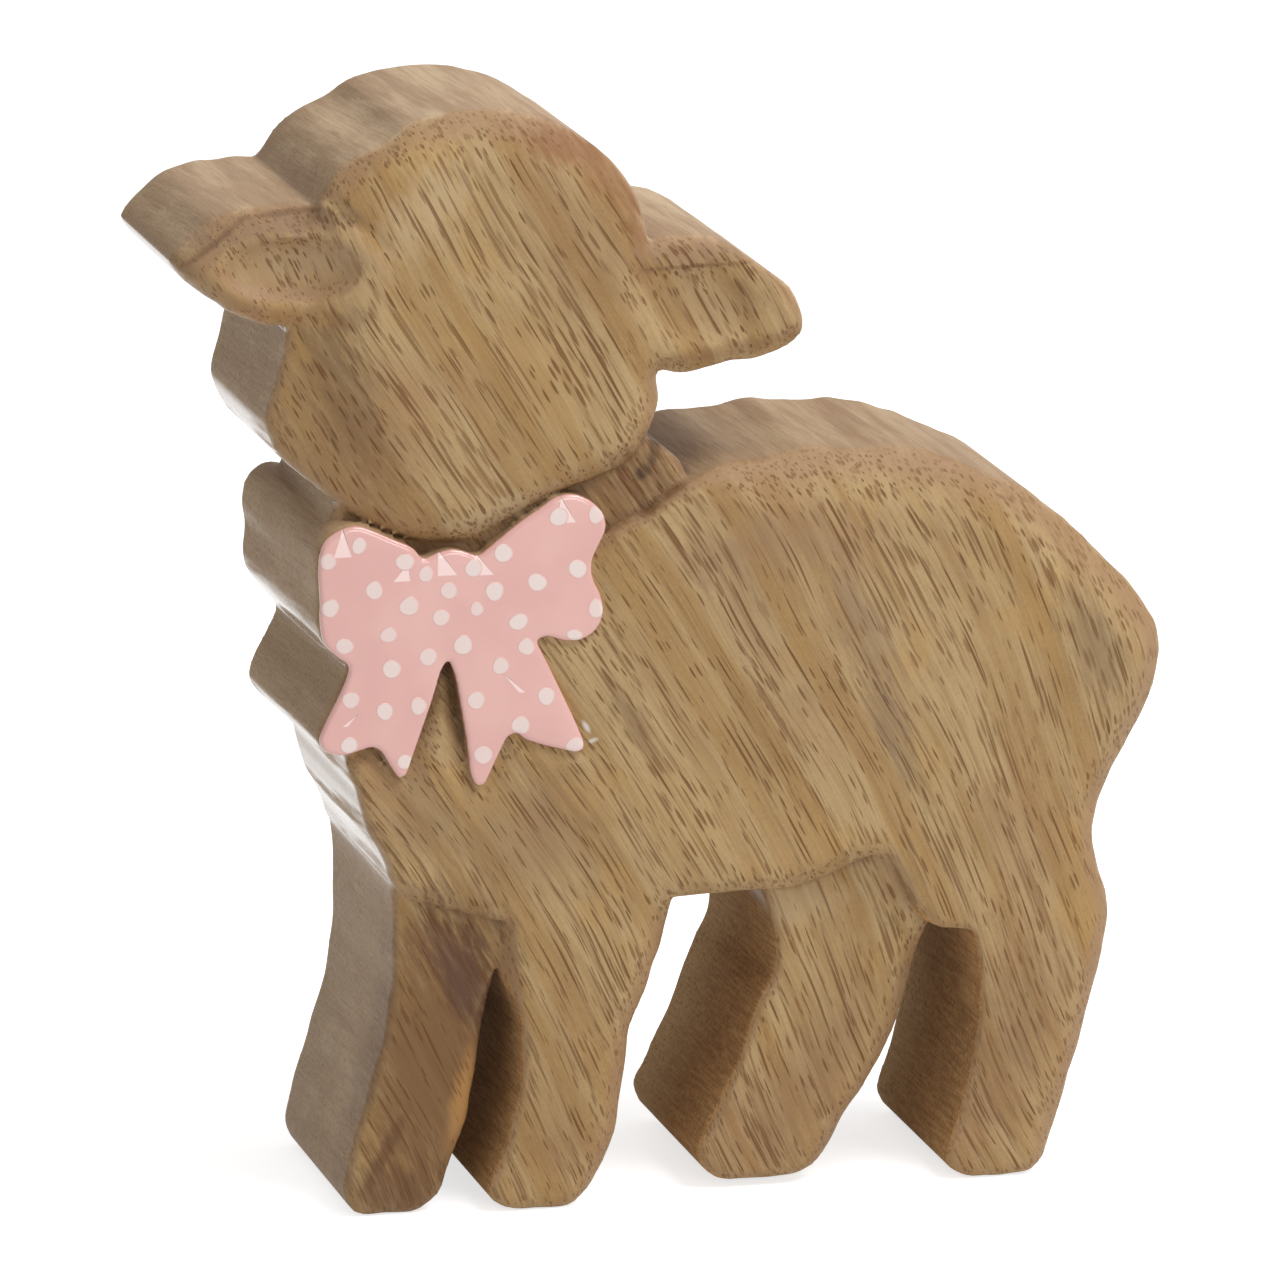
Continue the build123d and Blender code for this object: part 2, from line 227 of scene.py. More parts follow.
def both(a, b, soft):
    """Where two solids overlap: the larger of two fields, plus h^2 * soft / 4 with
    h = 1 - |a-b| / soft where that is above zero, so that their edge is rounded."""
    h = np.clip(1 - np.abs(a - b) / soft, 0, 1)
    return np.maximum(a, b) + h * h * soft / 4


def either(a, b, soft):
    """Two solids joined: the same rounding on the smaller of two fields, so the corner is filled."""
    return -both(-a, -b, soft)


def ramp(low, high, value):
    """0 below low, 1 above high, and 3t^2 - 2t^3 between."""
    t = np.clip((value - low) / (high - low), 0, 1)
    return t * t * (3 - 2 * t)


def waves(length, seed, *coordinates):
    """The mean of seven sine waves in random directions, each about `length` long."""
    rng = np.random.default_rng(seed)
    total = 0
    for _ in range(7):
        direction = rng.normal(size=len(coordinates))
        direction *= 2 * math.pi / (length * rng.uniform(0.7, 1.5) * np.linalg.norm(direction))
        phase = rng.uniform(0, 2 * math.pi)
        total = total + np.sin(sum(d * c for d, c in zip(direction, coordinates)) + phase)
    return total / 4


def rim_drop(gap, xs, zs, rim):
    """How far a form's face falls away towards its outline: depth * (1 - s / width)^2 at s inside
    it. The rim's four pairs of width and depth are mixed by the way that the outline faces."""
    across, up = np.gradient(gap, xs, zs)
    shares = [np.clip(w, 0, None) ** 2 + 1e-6 for w in (-across, across, up, -up)]
    total = sum(shares)
    width, depth = [sum(s * side[n] for s, side in zip(shares, rim)) / total for n in (0, 1)]
    return depth * (1 - np.clip(-gap / width, 0, 1)) ** 2


def skin(field, xs, ys, zs):
    """The surface where the field is zero. Each grid cell that it passes through gets one point,
    the mean of the places where it crosses the cell's edges, and each crossed edge gets one
    four-sided face between the four cells round it, facing the way that the field grows."""
    axes = (xs, ys, zs)
    inner = field < 0
    cells = tuple(n - 1 for n in field.shape)
    total, count = np.zeros(cells + (3,)), np.zeros(cells)
    crossed = []
    for axis in range(3):
        low, high = np.moveaxis(field, axis, 0)[:-1], np.moveaxis(field, axis, 0)[1:]
        low_in, high_in = np.moveaxis(inner, axis, 0)[:-1], np.moveaxis(inner, axis, 0)[1:]
        hit = low_in != high_in
        part = np.where(hit, low / np.where(hit, low - high, 1), 0)
        others = [n for n in range(3) if n != axis]
        place = [None] * 3
        grid = axes[axis]
        place[axis] = grid[:-1, None, None] + part * np.diff(grid)[:, None, None]
        place[others[0]] = np.broadcast_to(axes[others[0]][None, :, None], hit.shape)
        place[others[1]] = np.broadcast_to(axes[others[1]][None, None, :], hit.shape)
        for value, target in [(hit * p, total[..., n]) for n, p in enumerate(place)] + [(hit, count)]:
            value = value.astype(np.float64)
            near = value[:, :-1, :-1] + value[:, 1:, :-1] + value[:, :-1, 1:] + value[:, 1:, 1:]
            target += np.moveaxis(near, 0, axis)
        crossed.append((hit, low_in))
    number = np.full(cells, -1)
    full = count > 0
    number[full] = np.arange(full.sum())
    points = total[full] / count[full][:, None]
    faces = []
    for axis, (hit, low_in) in enumerate(crossed):
        step = np.moveaxis(number, axis, 0)
        inner_hit = hit[:, 1:-1, 1:-1]
        ring = [step[:, :-1, :-1], step[:, 1:, :-1], step[:, 1:, 1:], step[:, :-1, 1:]]
        quad = np.stack([r[inner_hit] for r in ring], 1)
        forward = low_in[:, 1:-1, 1:-1][inner_hit] ^ (axis == 1)
        faces.append(np.where(forward[:, None], quad, quad[:, ::-1]))
    return points, np.concatenate(faces)


def steps_between(*stops):
    """Places along one line: each stop is (end, step), and the step holds up to that end."""
    start = stops[0][0]
    line = [np.array([start])]
    for end, step in stops[1:]:
        count = max(1, round((end - start) / step))
        line.append(np.linspace(start, end, count + 1)[1:])
        start = end
    return np.concatenate(line)


def make_piece(name, points, faces, material):
    """A mesh object from points in millimetres, smooth, riding on the body."""
    mesh = bpy.data.meshes.new(name)
    mesh.vertices.add(len(points))
    mesh.vertices.foreach_set("co", np.ascontiguousarray(points * MM, dtype=np.float32).ravel())
    mesh.loops.add(faces.size)
    mesh.loops.foreach_set("vertex_index", np.ascontiguousarray(faces, dtype=np.int32).ravel())
    mesh.polygons.add(len(faces))
    mesh.polygons.foreach_set("loop_start", np.arange(len(faces), dtype=np.int32) * faces.shape[1])
    mesh.update(calc_edges=True)
    mesh.validate()
    mesh.shade_smooth()
    mesh.materials.append(material)
    piece = bpy.data.objects.new(name, mesh)
    bpy.context.collection.objects.link(piece)
    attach(piece, "root")
    return piece


def add_value(piece, name, values):
    """One number for each point of the piece, for its material to read."""
    layer = piece.data.attributes.new(name, "FLOAT", "POINT")
    layer.data.foreach_set("value", np.ascontiguousarray(values, dtype=np.float32))


def crowding(field, step, axes, points):
    """The share of wood in a small box round each point, read from the field's grid: a half on a
    flat face, more in a crease and less on an edge."""
    share = np.clip(0.5 - field / step, 0, 1)
    for axis in range(3):
        padded = np.pad(share, [(2, 2) if n == axis else (0, 0) for n in range(3)], mode="edge")
        share = np.lib.stride_tricks.sliding_window_view(padded, 5, axis).mean(-1)
    place = [np.interp(points[:, n], axes[n], np.arange(len(axes[n]))) for n in range(3)]
    low = [np.clip(p.astype(int), 0, len(a) - 2) for p, a in zip(place, axes)]
    part = [p - q for p, q in zip(place, low)]
    total = 0
    for corner in np.ndindex(2, 2, 2):
        weight = math.prod(t if c else 1 - t for t, c in zip(part, corner))
        total = total + weight * share[tuple(q + c for q, c in zip(low, corner))]
    return total


def bow_level(x, z):
    """How far the enamel's surface lies behind the block's front face, in millimetres, at places
    inside the bow: a low rounded rim, a faint crown between the edges and slow waves."""
    size = bpy.context.scene.lamb_enamel
    gap = outside(soft_outline(BOW), x, z)
    inside = np.clip(-gap, 0, None)
    rim = size.rim_radius / MM
    edge = np.clip(1 - inside / rim, 0, 1)
    level = rim * (1 - np.sqrt(np.clip(1 - edge**2, 0, 1))) * 0.9
    level = level + 0.10 * np.exp(-inside / 1.6) + 0.02 + 0.018 * waves(9, 21, x, z)
    return level, gap


def saw_ripple(x, z):
    """The ripple of the sawn sides: long waves, strongest by the ear's notch and along the back,
    with short ones on them."""
    by_notch = 1.5 * ramp(16, 4, np.hypot(x - EAR_NOTCH[0], z - EAR_NOTCH[1]))
    by_back = 1.3 * ramp(34, 10, np.hypot((x - BACK_TOP[0]) / 1.6, z - BACK_TOP[1]))
    long_waves = (0.45 + by_notch + by_back) * waves(7.5, 3, x, z)
    height = bpy.context.scene.lamb_carving.saw_ripple / MM
    return height * (long_waves + 0.35 * waves(3.1, 4, x, z))


def hand_lumps(x, z):
    """The slow waves that hand sanding left, which never rise above the sawn face."""
    height = bpy.context.scene.lamb_carving.hand_waviness / MM
    return height * np.clip(1.2 + waves(24, 5, x, z) + 0.45 * waves(9, 6, x, z), 0, None)


def cut_round_bow(gap, x, z):
    """How deep the wood round the bow is cut away: a bed between its tails, which rises to
    their tips, and a narrow groove all round."""
    out = np.clip(gap, 0, None)
    bed = (0.3 + 2.7 * ramp(50, 66, z)) * np.exp(-((out / 3.2) ** 2)) * ramp(-19, -23, x)
    return bed + 0.45 * np.exp(-((out / 1.1) ** 2)) * ramp(-5, -8, x)


def hollow(x, z, cx, cz, length, height, turn, depth):
    """An oval dish: depth * (1 - (2u / length)^2 - (2v / height)^2)^0.55, with u along it."""
    dx, dz = x - cx, z - cz
    u = dx * math.cos(turn) + dz * math.sin(turn)
    v = -dx * math.sin(turn) + dz * math.cos(turn)
    return depth * np.clip(1 - (2 * u / length) ** 2 - (2 * v / height) ** 2, 0, 1) ** 0.55


def head_and_ears(gaps, fall, x, z):
    """How deep the faces of the head, the left ear and the right ear lie."""
    carve = bpy.context.scene.lamb_carving
    dish = carve.ear_hollow / MM
    cheek = (x - CHEEK[0]) * CHEEK_WAY[0] + (z - CHEEK[1]) * CHEEK_WAY[1]
    cheek_fall = carve.cheek_depth / MM / 10 * np.clip(cheek, 0, None) ** 1.15 * 0.7
    head = np.clip(both(fall(gaps["head"], HEAD_RIM), cheek_fall, 1.2) - SANDED, 0, None)

    # The left ear's root runs into the head; a bevel lies above its hollow
    root = ramp(-46, -37, x)
    left = (LEFT_EAR_STEP + fall(gaps["left_ear"], LEFT_EAR_RIM)) * (1 - root) + head * root
    left = left + 0.75 * np.clip(z - LEFT_BEVEL_Z + 0.035 * (x + 45) ** 2, 0, None) * (1 - root)
    left = left + hollow(x, z, *LEFT_HOLLOW, dish)

    # The right ear steps down below a line across it and rises again to its lower rim
    right_run = either(gaps["right_ear"], gaps["head"], 2)
    right = RIGHT_EAR_STEP + 1.1 * ramp(-4, 8, x) + fall(right_run, RIGHT_EAR_RIM)
    right = right + 0.32 * np.clip(z - RIGHT_EAR_LINE, 0, None) * ramp(-7, -5, x)
    below = np.clip((z - 101) / 10, 0, 1) * ramp(111.6, 110.4, z)
    below = below * ramp(-7.5, -4.5, x) * ramp(11.5, 6.5, x)
    right = right + 0.8 * below + hollow(x, z, *RIGHT_HOLLOW, 0.35 * dish)

    # A crease runs on from the notch between the left ear and the head
    crease = np.abs((x - CREASE[0]) * 0.672 + (z - CREASE[1]) * 0.740)
    head = head + 0.8 * ramp(1.1, 0.1, crease) * ramp(-43, -40, x) * ramp(-33, -36, x)

    # Where an ear lies on the head, the head is cut back to the ear's face
    on_left = ramp(0.4, -0.8, gaps["left_ear"])
    on_right = ramp(0.4, -1.2, gaps["right_ear"]) * ramp(-8, -3, x)
    for share, ear in ((on_left, left), (on_right, right)):
        head = head * (1 - share) + np.maximum(head, ear) * share
    return head, left, right


def wood_field(xs, ys, zs):
    """The lamb as one field, in millimetres, less than zero in the wood. Each form is its outline
    carried through the block, cut by a front and a back face that fall away towards its rim."""
    carve = bpy.context.scene.lamb_carving
    half = carve.block_thickness / MM / 2
    soft = carve.edge_softness / MM
    x, z = np.meshgrid(xs, zs, indexing="ij")
    y = ys[None, :, None]
    ripple, lump = saw_ripple(x, z), hand_lumps(x, z)
    gaps = {name: outside(soft_outline(points), x, z) for name, points in OUTLINES.items()}

    def fall(gap, rim):
        return rim_drop(gap, xs, zs, rim)

    def form(gap, front, back):
        """An outline's solid between its own front and back face, its rims rounded a little."""
        body = both(gap[:, None, :], (-half + front + lump)[:, None, :] - y, soft)
        return both(body, y - (half - back - lump)[:, None, :], soft)

    # The trunk runs on into the legs that stand on the same side, so they share one face. Beside
    # the neck the trunk's edge is crisp; along the back it rolls over widely.
    shoulder = 0.16 + 0.84 * ramp(-4, 14, x)
    trunk_rim = [*TRUNK_RIM[:2], [v * shoulder for v in TRUNK_RIM[2]], TRUNK_RIM[3]]
    leg_zone = ramp(40, 30, z)
    shared = []
    for first, second in (("front_near", "hind_near"), ("front_back", "hind_back")):
        run = either(either(gaps["trunk"], gaps[first], LEG_FILLET), gaps[second], LEG_FILLET)
        shared.append(SANDED + (fall(run, trunk_rim) * (1 - leg_zone) + fall(run, LEG_RIM) * leg_zone))
    front, back = shared

    head, left_ear, right_ear = head_and_ears(gaps, fall, x, z)
    nape = NECK_STEP - 1.3 * np.exp(-(((x - NAPE[0]) / 9) ** 2 + ((z - NAPE[1]) / 4) ** 2))
    under_rump = (HIND_FOLD[0] - x) * 0.83 + (HIND_FOLD[1] - z) * 0.55
    leg_falls = {name: fall(gaps[name], LEG_RIM) for name in ("front_near", "hind_near", "hind_back")}
    front_back_fall = fall(gaps["front_back"], FRONT_BACK_RIM)
    slot_top = SLOT_TOP - 2.4 * np.abs(x - SLOT_X + 0.3)
    web = both(np.abs(x - SLOT_X) - WEB_HALF_WIDTH, slot_top - z, FILLET)
    web = np.maximum(web, z - WEB_TOP)
    web_front = 0.6 + 1.7 * ramp(-18.5, -22.0, x)
    edge = {name: gap + ripple for name, gap in gaps.items()}

    # Each form's outline, the depths of its two faces, and how far its corner is filled
    field = form(edge["trunk"], front + cut_round_bow(gaps["bow"], x, z), back)
    for outline, face, rear, fill in (
        (edge["front_near"], front, FRONT_LEG_STEP + leg_falls["front_near"], 0),
        (edge["hind_near"], front, HIND_LEG_STEP + leg_falls["hind_near"], 0),
        (edge["front_back"], FRONT_LEG_STEP + front_back_fall, back, 0),
        (web, web_front, back, FILLET),
        (edge["hind_back"], 0.4 + 3.1 * ramp(-1, 7, under_rump) + leg_falls["hind_back"], back, 0),
        (edge["neck"], nape + fall(gaps["neck"], THIN_RIM), NECK_STEP + fall(gaps["neck"], THIN_RIM), FILLET),
        (edge["head"], head, fall(gaps["head"], HEAD_RIM), FILLET),
        (edge["left_ear"], left_ear, EAR_BACK_STEP + fall(gaps["left_ear"], LEFT_EAR_RIM), EAR_FILLET),
        (edge["right_ear"], right_ear, EAR_BACK_STEP + fall(gaps["right_ear"], RIGHT_EAR_RIM), EAR_FILLET),
    ):
        solid = form(outline, face, rear)
        field = either(field, solid, fill) if fill else np.minimum(field, solid)

    # The bow's left side goes through the block, from the bow's own outline at the front to a
    # slightly wider one at the back
    through = (y + half) / (2 * half)
    left_side = both(gaps["bow"], x - LOBES_RIGHT_X, 0.3)
    lobes = left_side[:, None, :] * (1 - through) + gaps["lobes"][:, None, :] * through
    lobes = lobes + 0.6 * ripple[:, None, :] * ramp(0.0, 0.3, through)
    lobes = both(lobes, -half + 1.0 - y, 0.3)
    lobes = both(lobes, y - (half - LOBE_STEP - fall(gaps["lobes"], THIN_RIM))[:, None, :], soft)
    field = either(field, lobes, LOBE_FILLET)

    # The raised bow itself, whose face lies under the enamel
    bow = np.maximum((gaps["bow"] + 0.18)[:, None, :], -half + BOW_CORE_STEP - y)
    bow = np.maximum(bow, y + half - 6)
    return np.minimum(field, bow)


def metres(name, description, default, low, high, digits=4):
    """A length in metres, set in the sidebar."""
    return bpy.props.FloatProperty(
        name=name, description=description, default=default, min=low, max=high, precision=digits,
        unit="LENGTH", subtype="DISTANCE")


def paint(name, description, default):
    """A colour, set in the sidebar."""
    return bpy.props.FloatVectorProperty(
        name=name, description=description, default=default, min=0, max=1, size=3, subtype="COLOR")


class LambCarving(bpy.types.PropertyGroup):
    """Sizes of the block and of the carving."""

    block_width: metres("Block Width", "Width that the outlines are measured in", 0.117, 0.05, 0.4)
    block_height: metres("Block Height", "Height from the feet to the top of the head", 0.130, 0.05, 0.4)
    block_thickness: metres("Block Thickness", "Thickness of the sawn block", 0.036, 0.01, 0.1)
    edge_softness: metres("Edge Softness", "How far sanding has rounded the edges", 0.0006, 0.0002, 0.004)
    saw_ripple: metres("Saw Ripple", "Height of the saw's ripples on the sides", 0.00030, 0, 0.002, 5)
    hand_waviness: metres("Hand Waviness", "Height of the waves of sanding", 0.00010, 0, 0.001, 5)
    cheek_depth: metres("Cheek Depth", "How far the cheek falls back in a centimetre", 0.0033, 0, 0.01)
    ear_hollow: metres("Ear Hollow", "Depth of the hollow in the ear", 0.0020, 0, 0.006)
    grid_step: metres("Grid Step", "Spacing of the grid under the surface", 0.0007, 0.0003, 0.003)


class LambWood(bpy.types.PropertyGroup):
    """Colours and scale of the wood."""

    honey: paint("Honey", "Main colour of the wood", (0.370, 0.222, 0.084))
    pale: paint("Pale", "Colour of the pale growth bands", (0.465, 0.320, 0.156))
    brown: paint("Brown", "Colour of the dark growth bands", (0.235, 0.130, 0.052))
    grey: paint("End Grain", "Colour where the fibres are cut across", (0.570, 0.412, 0.252))
    pore: paint("Pore", "Colour of the open pores", (0.158, 0.063, 0.020))
    pore_width: metres("Pore Width", "Width of an open pore", 0.00031, 0.0001, 0.001, 5)
    sheen: bpy.props.FloatProperty(
        name="Roughness", description="Roughness of the waxed surface",
        default=0.52, min=0.1, max=1.0, subtype="FACTOR")


class LambEnamel(bpy.types.PropertyGroup):
    """Sizes and colours of the enamel and its dots."""

    thickness: metres("Thickness", "Thickness of the enamel on the bow", 0.0008, 0.0002, 0.003)
    rim_radius: metres("Rim Radius", "Radius of the enamel's rounded rim", 0.00055, 0.0001, 0.002, 5)
    dot_diameter: metres("Dot Diameter", "Diameter of an average dot", 0.0020, 0.0005, 0.006)
    pink: paint("Pink", "Colour of the enamel", (0.715, 0.395, 0.350))
    white: paint("White", "Colour of the dots", (0.770, 0.640, 0.590))


class LambStage(bpy.types.PropertyGroup):
    """The table and the light."""

    key_power: bpy.props.FloatProperty(
        name="Key Power", description="Power of the large lamp above", default=5.0, min=0, max=200,
        unit="POWER")
    fill_power: bpy.props.FloatProperty(
        name="Fill Power", description="Power of the lamp in front", default=1.6, min=0, max=200,
        unit="POWER")
    surround: bpy.props.FloatProperty(
        name="Surround", description="Strength of the light from all round", default=0.55, min=0,
        max=2, subtype="FACTOR")
    table_size: metres("Table Size", "Side of the white table", 4.0, 0.5, 20)


# Materials

class Wire:
    """A number that flows through a material, so that sums of it are written as Python."""

    def __init__(self, bench, socket):
        self.bench, self.socket = bench, socket

    def __add__(self, other):
        return self.bench.maths("ADD", self, other)

    def __sub__(self, other):
        return self.bench.maths("SUBTRACT", self, other)

    def __rsub__(self, other):
        return self.bench.maths("SUBTRACT", other, self)

    def __mul__(self, other):
        return self.bench.maths("MULTIPLY", self, other)

    def __truediv__(self, other):
        return self.bench.maths("DIVIDE", self, other)

    __radd__, __rmul__ = __add__, __mul__

    def unsigned(self):
        """The number without its sign."""
        return self.bench.maths("ABSOLUTE", self)

    def most(self, other):
        """The larger of two numbers."""
        return self.bench.maths("MAXIMUM", self, other)

    def step(self, low, high):
        """0 at low, 1 at high, smooth between; low may be the larger."""
        return self.bench.node(
            "ShaderNodeMapRange", {"Value": self, "From Min": low, "From Max": high},
            interpolation_type="SMOOTHSTEP")


class Bench:
    """The nodes of one material, or of the world."""

    def __init__(self, holder):
        self.holder = holder
        holder.use_nodes = True
        self.tree = holder.node_tree
        self.tree.nodes.clear()

    def node(self, kind, values=None, out=0, **settings):
        """Adds a node, sets it up, joins or sets its inputs and gives back one output, or a list of
        them where out is a tuple."""
        made = self.tree.nodes.new(kind)
        for name, value in settings.items():
            setattr(made, name, value)
        for name, value in (values or {}).items():
            socket = made.inputs[name]
            if isinstance(value, Wire):
                self.tree.links.new(value.socket, socket)
            else:
                socket.default_value = value
        if isinstance(out, tuple):
            return [Wire(self, made.outputs[n]) for n in out]
        return Wire(self, made.outputs[out]) if len(made.outputs) else None

    def maths(self, operation, *values):
        return self.node("ShaderNodeMath", dict(enumerate(values)), operation=operation)

    def mix(self, share, a, b):
        """Two colours mixed; a colour is a wire or three numbers."""
        a, b = [c if isinstance(c, Wire) else (*c, 1) for c in (a, b)]
        return self.node("ShaderNodeMix", {0: share, 6: a, 7: b}, out=2, data_type="RGBA")

    def layers(self, colour, *coats):
        """Colours laid over one another in order; each coat is its share and its colour."""
        for share, coat in coats:
            colour = self.mix(share, colour, coat)
        return colour

    def vector(self, x, y, z):
        return self.node("ShaderNodeCombineXYZ", {0: x, 1: y, 2: z})

    def split(self, vector):
        return self.node("ShaderNodeSeparateXYZ", {0: vector}, out=(0, 1, 2))

    def scale(self, vector, share):
        return self.node("ShaderNodeVectorMath", {0: vector, "Scale": share}, operation="SCALE")

    def place(self):
        """The place on the object, in millimetres."""
        return self.scale(self.node("ShaderNodeTexCoord", out=3), 1 / MM)

    def value_of(self, name):
        """A number that the piece carries for each of its points."""
        return self.node("ShaderNodeAttribute", out=2, attribute_name=name)

    def noise(self, place, scale=1.0, detail=2.0, rough=0.5, out=0):
        values = {"Vector": place, "Scale": scale, "Detail": detail, "Roughness": rough}
        return self.node("ShaderNodeTexNoise", values, out=out)

    def bump(self, height):
        return self.node("ShaderNodeBump", {"Height": height, "Distance": MM, "Strength": 1.0})

    def seen(self):
        """1 for what the camera sees, straight, in a gloss or through glass; 0 for light on things."""
        camera, gloss, glass = self.node("ShaderNodeLightPath", out=(0, 3, 6))
        return camera.most(gloss).most(glass)

    def finish(self, shader):
        """Puts the shader on the material's output and gives back the material."""
        self.node("ShaderNodeOutputMaterial", {"Surface": shader})
        return self.holder


# Patches of darker or lighter colour, mostly the wood's own and some painted shade or a painted
# highlight as marked: x, z, half length and half height in millimetres, the turn of the length in
# degrees, the strength, how ragged the edge is, and the colour
PATCHES = [
    # The head's rim and brow, with a pale sheen on the brow that is a painted highlight
    (-14.5, 126.0, 7.0, 2.4, -12, 0.85, 2.6, (0.250, 0.112, 0.044)),
    (-8.0, 121.5, 6.5, 2.6, -56, 0.75, 2.6, (0.250, 0.118, 0.048)),
    (-4.9, 113.5, 5.0, 1.7, -80, 0.55, 2.6, (0.230, 0.105, 0.042)),
    (-30.0, 119.0, 8.5, 3.6, 48, 0.62, 2.6, (0.560, 0.420, 0.250)),
    # The front leg at the back
    (-29.0, 18.0, 23.0, 9.5, 80, 0.84, 1.2, (0.160, 0.077, 0.030)),
    (-24.8, 28.0, 8.5, 3.6, -66, 0.72, 2.0, (0.080, 0.036, 0.025)),
    (-28.5, 32.5, 5.0, 3.4, 0, 0.50, 1.8, (0.130, 0.058, 0.034)),
    (-25.3, 13.5, 6.5, 1.6, 78, 0.75, 1.2, (0.430, 0.220, 0.070)),
    (-33.0, 3.0, 8.0, 4.0, 0, 0.55, 1.2, (0.110, 0.050, 0.025)),
    (-34.5, 8.0, 6.0, 1.0, 62, 0.60, 1.2, (0.110, 0.046, 0.022)),
    # The trunk
    (50.0, 63.5, 9.0, 3.4, -62, 0.55, 2.6, (0.150, 0.092, 0.052)),
    (25.5, 55.0, 10.0, 2.2, -66, 0.50, 2.6, (0.150, 0.098, 0.062)),
    (22.5, 66.0, 12.0, 3.0, -66, 0.42, 2.6, (0.240, 0.160, 0.105)),
    (33.5, 74.0, 9.0, 1.5, -66, 0.40, 2.6, (0.230, 0.130, 0.070)),
    (8.0, 70.0, 14.0, 4.0, -64, 0.35, 2.6, (0.270, 0.170, 0.100)),
    (-5.0, 57.0, 8.0, 1.6, -62, 0.50, 2.6, (0.180, 0.105, 0.055)),
    (1.0, 47.0, 10.0, 5.0, -40, 0.35, 2.6, (0.470, 0.290, 0.110)),
    # The cheek and the chest
    (-38.8, 97.0, 11.0, 3.6, -72, 0.62, 2.6, (0.190, 0.108, 0.052)),
    (-41.0, 103.5, 5.0, 3.4, -70, 0.50, 2.6, (0.200, 0.122, 0.064)),
    (-18.0, 46.0, 15.0, 9.0, -20, 0.42, 2.6, (0.230, 0.140, 0.072)),
    (-31.0, 50.0, 10.0, 4.0, -72, 0.42, 2.6, (0.230, 0.140, 0.075)),
    # The neck, its recess under the head darkened as painted shade, with two dark knots
    (-4.5, 86.0, 7.5, 4.5, 35, 0.78, 2.6, (0.165, 0.078, 0.034)),
    (-1.8, 89.5, 2.0, 0.9, 70, 0.95, 2.6, (0.045, 0.020, 0.011)),
    (-3.6, 86.6, 1.3, 0.9, 30, 0.90, 2.6, (0.050, 0.023, 0.013)),
    (-20.0, 83.6, 9.0, 2.0, 14, 0.65, 2.6, (0.480, 0.345, 0.200)),
    # The left ear, its down-facing lower rim painted darker as painted shade on orange-brown wood
    (-46.5, 107.8, 8.5, 1.7, -10, 0.75, 2.6, (0.340, 0.165, 0.060)),
    (-47.0, 113.0, 12.0, 6.5, 0, 0.55, 2.6, (0.350, 0.220, 0.125)),
    (-45.5, 113.0, 6.5, 2.6, -2, 0.45, 2.6, (0.520, 0.370, 0.215)),
    (-46.5, 117.6, 10.0, 1.8, 8, 0.85, 2.6, (0.270, 0.168, 0.098)),
    (-39.0, 106.6, 4.0, 1.4, 25, 0.50, 2.6, (0.180, 0.105, 0.055)),
    # The right ear
    (1.6, 112.4, 8.5, 1.5, -2, 0.85, 2.6, (0.270, 0.165, 0.095)),
    (2.4, 110.9, 8.4, 0.30, 0, 0.45, 0.9, (0.125, 0.062, 0.028)),
    (4.0, 106.0, 8.5, 4.0, -8, 0.42, 2.6, (0.240, 0.150, 0.080)),
    (5.5, 100.9, 9.0, 1.0, 8, 0.70, 2.6, (0.215, 0.108, 0.042)),
    # Two chips of white enamel beside the bow's right tail
    (-11.0, 57.6, 0.9, 0.35, -60, 0.85, 0.9, (0.700, 0.660, 0.600)),
    (-10.3, 55.9, 0.7, 0.30, 20, 0.75, 0.9, (0.700, 0.660, 0.600)),
    # The other legs
    (-13.0, 7.0, 5.0, 3.0, 0, 0.35, 2.6, (0.260, 0.130, 0.065)),
    (14.0, 33.5, 8.0, 2.6, 12, 0.45, 2.6, (0.500, 0.360, 0.210)),
    (40.0, 17.0, 13.0, 5.0, 74, 0.55, 2.6, (0.200, 0.108, 0.048)),
    # Thin dark lines along the left ear's front edge
    (-53.5, 116.2, 5.0, 0.40, 36, 0.60, 0.9, (0.160, 0.085, 0.045)),
    (-45.5, 119.1, 5.5, 0.40, 6, 0.60, 0.9, (0.160, 0.085, 0.045)),
    # A hind leg, the back and the face
    (17.0, 15.0, 14.0, 5.0, 56, 0.45, 2.6, (0.250, 0.145, 0.072)),
    (12.0, 78.0, 16.0, 3.5, 8, 0.45, 2.6, (0.300, 0.180, 0.098)),
    (-17.0, 101.0, 12.0, 5.0, -62, 0.35, 2.6, (0.430, 0.250, 0.080)),
]


# Flat spots in the enamel that lean back and catch the light, their colour also lightened as a
# painted highlight: x, z, width and height in millimetres, and how far the top leans to the right
GLINTS = [
    (-39.8, 79.3, 2.2, 3.6, 0.00), (-32.9, 76.1, 2.1, 2.3, 0.35), (-27.5, 76.5, 2.4, 3.3, -0.35),
    (-23.2, 76.3, 2.4, 2.7, -0.35), (-13.5, 81.9, 2.4, 3.2, -0.20), (-18.7, 62.2, 0.8, 3.2, -0.95),
    (-39.7, 59.4, 0.7, 1.7, 1.10),
]


# The way of the fibres, as their run to the tail and their fall, and the bend in it: its middle's
# height and its reach in millimetres
FIBRE_RUN, FIBRE_FALL = 0.42, 0.906
BEND_Z, BEND_REACH = 60, 18
# Sizes of the wood's soft patterns, and of the saw's streaks and hair, in millimetres
SWAY, CLOUD, TONE, STREAK, HAIR = 26, 11, 24, 3.2, 0.34
# Wood's colours beside those of the sidebar
GOLDEN, TAWNY, WAXED = (0.470, 0.275, 0.090), (0.330, 0.185, 0.090), (0.335, 0.200, 0.108)
SAW_BURN, SIDE_CLOUD = (0.310, 0.182, 0.092), (0.350, 0.205, 0.108)
